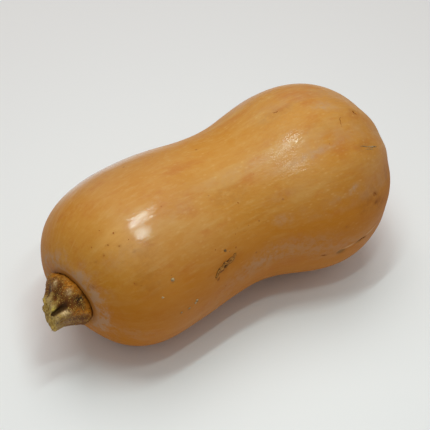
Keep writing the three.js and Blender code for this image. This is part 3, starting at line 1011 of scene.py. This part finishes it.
# Brown specks, given the same way
BROWN_SPECKS = [
    (86.6, 69.0, 0.4), (75.4, 63.0, 0.5), (91.5, 68.6, 0.5), (93.6, 60.3, 0.35),
    (78.2, 93.2, 0.55), (77.2, 96.6, 0.45), (102.9, 43.0, 0.6), (56.1, 24.4, 0.4), (74.6, 31.1, 0.35),
    (24.3, 20.9, 0.45), (13.7, 27.4, 0.5), (17.6, 55.2, 0.5), (20.1, 13.0, 0.4), (12.2, 16.2, 0.4),
    (68.7, 98.0, 0.5), (151.8, 101.6, 0.6), (165.7, 82.3, 0.45), (120.4, 30.0, 0.3), (28.0, 30.0, 0.35),
    (18.2, 24.2, 0.4), (22.1, 29.7, 0.3), (133.0, 262.0, 0.6), (64.0, 310.0, 0.5), (98.0, 221.0, 0.5),
    (172.0, 330.0, 0.6),
]
GREY_SPECKS = [(82.8, 66.9, 0.85), (82.0, 66.5, 0.6), (86.2, 69.1, 0.5)]
# Fine scratches, each the places along it and its half thickness
BROWN_SCRATCHES = [
    ([(187.0, 18.9), (185.6, 20.1), (184.6, 22.6), (183.7, 25.4)], 0.17),
    ([(70.6, 83.8), (72.0, 82.9), (73.2, 81.6)], 0.3),
    ([(191.4, 70.2), (192.8, 71.4), (193.8, 73.0)], 0.3),
    ([(190.6, 72.0), (192.2, 72.6)], 0.26),
    ([(149.8, 101.2), (151.8, 101.8), (153.6, 102.4)], 0.35),
    ([(151.4, -1.6), (153.2, -0.9), (155.2, -0.7)], 0.28),
    ([(199.6, 14.0), (200.9, 15.0), (201.8, 17.0)], 0.34),
    ([(191.6, 77.6), (192.8, 77.2)], 0.25),
    ([(179.0, 101.9), (182.0, 101.6), (185.0, 101.9)], 0.3),
]
GREY_SCRATCHES = [
    ([(196.4, 41.4), (199.0, 42.4), (202.0, 42.6), (205.2, 43.4)], 0.5),
    ([(190.0, 39.9), (193.4, 40.6), (197.5, 41.9)], 0.3),
    ([(193.0, 43.0), (197.0, 43.4), (200.6, 44.0)], 0.22),
]


def skin_lines(name, lines, material):
    """Thin crusts that follow lines on the skin and run out at both ends."""
    places, edges, sizes = [], [], []
    steps = 24
    share = np.linspace(0, 1, steps)
    for number, (line, half) in enumerate(lines):
        line = np.array(line, dtype=float)
        knots = np.linspace(0, 1, len(line))
        wander = np.array([noise.noise(Vector((x * 7, number * 3.3, 0))) for x in share])
        first = len(places)
        places += zip(np.interp(share, knots, line[:, 0]),
                      np.interp(share, knots, line[:, 1]) + 0.5 * wander)
        sizes += list(half * (1 + wander) * np.sin(np.pi * np.clip(share, 0.03, 0.97)) ** 0.6)
        edges += [(first + i, first + i + 1) for i in range(steps - 1)]
    station, angle = np.array(places).T
    points, _ = skin_point(station, angle)
    mesh = plain_mesh(name, points, edges, attributes={"size": sizes})
    settings = {"Thickness": MM, "Sides": 8, "Finish": material}
    tree, start = new_group(name, settings)
    curve = wire(tree, "GeometryNodeMeshToCurve", {0: start["Geometry"]})
    profile = wire(tree, "GeometryNodeCurvePrimitiveCircle",
                   {"Resolution": start["Sides"], "Radius": start["Thickness"]})
    tube = wire(tree, "GeometryNodeCurveToMesh", {
        "Curve": curve, "Profile Curve": profile, "Scale": named(tree, "size"), "Fill Caps": True})
    return grow(name, tree, mesh, settings, start, tube)


def read_attribute(mesh, name):
    values = np.zeros(len(mesh.vertices))
    mesh.attributes[name].data.foreach_get("value", values)
    return values


def stem_grains(stem, material):
    """Small corky grains scattered over the stem, by the density that the mesh carries."""
    settings = {"Per square metre": 1.7e6, "Least size": 0.08, "Greatest size": 0.22, "Seed": SEED,
                "Finish": material}
    tree, start = new_group("stem_grains", settings)
    scattered = wire(tree, "GeometryNodeDistributePointsOnFaces", {
        "Mesh": start["Geometry"], "Seed": start["Seed"],
        "Density": times(named(tree, "grainy").outputs[0], start["Per square metre"])}).outputs
    ball = wire(tree, "GeometryNodeMeshIcoSphere", {"Radius": MM, "Subdivisions": 1})
    flat = wire(tree, "GeometryNodeTransform", {"Geometry": ball, "Scale": (1.0, 1.5, 0.6)})
    placed = wire(tree, "GeometryNodeInstanceOnPoints", {
        "Points": scattered["Points"], "Instance": flat, "Rotation": scattered["Rotation"],
        "Scale": random_value(tree, start["Least size"], start["Greatest size"], start["Seed"])})
    real = wire(tree, "GeometryNodeRealizeInstances", {0: placed})
    grainy = stem.data.copy()
    height, broken, relief = (read_attribute(grainy, name) for name in ("height", "broken", "relief"))
    density = window(height, 0.25, 0.85, 0.15) * (broken == 0) * smoothstep(relief, -2.2, -0.4)
    set_attribute(grainy, "grainy", density)
    return grow("stem_grains", tree, grainy, settings, start, real)


# Camera, lights and floor
def camera_axes():
    turn, rise = math.radians(CAMERA_TURN), math.radians(CAMERA_ELEVATION)
    right = Vector((math.cos(turn), -math.sin(turn), 0))
    towards = Vector((-math.sin(turn), -math.cos(turn), 0))
    back = towards * math.cos(rise) + Vector((0, 0, math.sin(rise)))
    up = -towards * math.sin(rise) + Vector((0, 0, math.cos(rise)))
    return right, up, back


AIM = Vector(((fruit_low[0] + fruit_high[0]) / 2, 0, AIM_HEIGHT)) * MM


def add_camera():
    right, up, back = camera_axes()
    data = bpy.data.cameras.new("camera")
    data.sensor_fit = "HORIZONTAL"
    data.sensor_width = SENSOR_WIDTH
    data.lens = FOCAL_PIXELS * SENSOR_WIDTH / FRAME_PIXELS
    data.clip_start, data.clip_end = 0.05, 20
    camera = link_object("camera", data)
    aside = (right * CAMERA_ASIDE[0] + up * CAMERA_ASIDE[1]) * MM
    turned = Matrix((right, up, back)).transposed().to_4x4()
    camera.matrix_world = Matrix.Translation(AIM + back * CAMERA_DISTANCE * MM - aside) @ turned
    bpy.context.scene.camera = camera


# The lights: where they are in metres along the camera's right, up and back, their two sizes in
# metres, their power in watts, their colour, the way the first size runs, and whether they mirror
LIGHTS = {
    "key": ((0.005, 0.224, 0.285), (0.138, 0.011), 0.32, (0.8, 1.0, 1.0), (1, 0.26, 0.30), True),
    "key_side": ((0.047, 0.141, 0.337), (0.080, 0.014), 0.17, (0.8, 1.0, 1.0), (1, 0.12, 0.14), True),
    "overhead": ((-0.15, 1.40, 0.70), (1.2, 1.2), 10.6, (1.0, 0.96, 0.93), None, False),
}


def add_light(name, place, size, power, colour, along, mirrors):
    axes = camera_axes()
    reach = sum((axis * share for axis, share in zip(axes, place)), Vector())
    towards = reach.normalized()
    data = bpy.data.lights.new(name, "AREA")
    data.shape = "RECTANGLE"
    data.size, data.size_y = size
    data.energy = power
    data.color = colour
    light = link_object(name, data)
    light.visible_glossy = mirrors
    x = Vector(along) if along else axes[0]
    x = (x - towards * x.dot(towards)).normalized()
    turned = Matrix((x, towards.cross(x), towards)).transposed().to_4x4()
    light.matrix_world = Matrix.Translation(AIM + reach) @ turned


def add_world(horizon, zenith):
    world = bpy.data.worlds.new("studio")
    world.use_nodes = True
    tree = world.node_tree
    background = tree.nodes["Background"]
    background.inputs["Color"].default_value = (1.0, 0.985, 0.96, 1.0)
    sky = wire(tree, "ShaderNodeTexCoord").outputs["Generated"]
    up = wire(tree, "ShaderNodeSeparateXYZ", {0: sky}).outputs[2]
    feed(background, "Strength", remap(up, 0.1, 0.7, horizon, zenith))
    bpy.context.scene.world = world


# Half the width of the floor, in millimetres, and how far it lies below the part, in metres
FLOOR_HALF_WIDTH = 2600
FLOOR_DROP = 0.0002


def add_floor():
    square = np.array([(-1, -1, 0), (1, -1, 0), (1, 1, 0), (-1, 1, 0)])
    floor = make_mesh("floor", FLOOR_HALF_WIDTH * square, [(0, 1, 2, 3)], smooth=False)
    material, _, shader, _ = new_material("pale_floor")
    feed(shader, "Base Color", (0.86, 0.86, 0.86, 1.0))
    feed(shader, "Roughness", 0.9)
    floor.data.materials.append(material)
    floor.location.z = -FLOOR_DROP


bpy.context.scene.view_settings.view_transform = "Standard"
add_camera()
add_floor()
add_world(0.26, 0.46)
for name, settings in LIGHTS.items():
    add_light(name, *settings)

skin, stem, scar = make_skin(), make_stem(), make_long_scar()
for piece, material in ((skin, skin_material()), (stem, stem_material()), (scar, scar_material())):
    piece.data.materials.append(material)
cork = {name: flat_material(name, *look) for name, look in CORKS.items()}
warts = skin_spots("warts", WARTS, 0.75, 0.18, cork["pale_cork"], 0.5)
brown_specks = skin_spots("brown_specks", BROWN_SPECKS, 0.2, 0.05, cork["speck_cork"], 0.3)
grey_specks = skin_spots("grey_specks", GREY_SPECKS, 0.3, 0.05, cork["grey_cork"], 0.4)
brown_scratches = skin_lines("brown_scratches", BROWN_SCRATCHES, cork["brown_cork"])
grey_scratches = skin_lines("grey_scratches", GREY_SCRATCHES, cork["grey_scar"])
grains = stem_grains(stem, cork["grain_cork"])

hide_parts("fruit")
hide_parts("stem")
for piece, finish in ((skin, "skin"), (scar, "skin"), (warts, "skin"), (brown_specks, "skin"),
                      (grey_specks, "skin"), (brown_scratches, "skin"), (grey_scratches, "skin"),
                      (stem, "stem"), (grains, "stem")):
    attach(piece, "root")
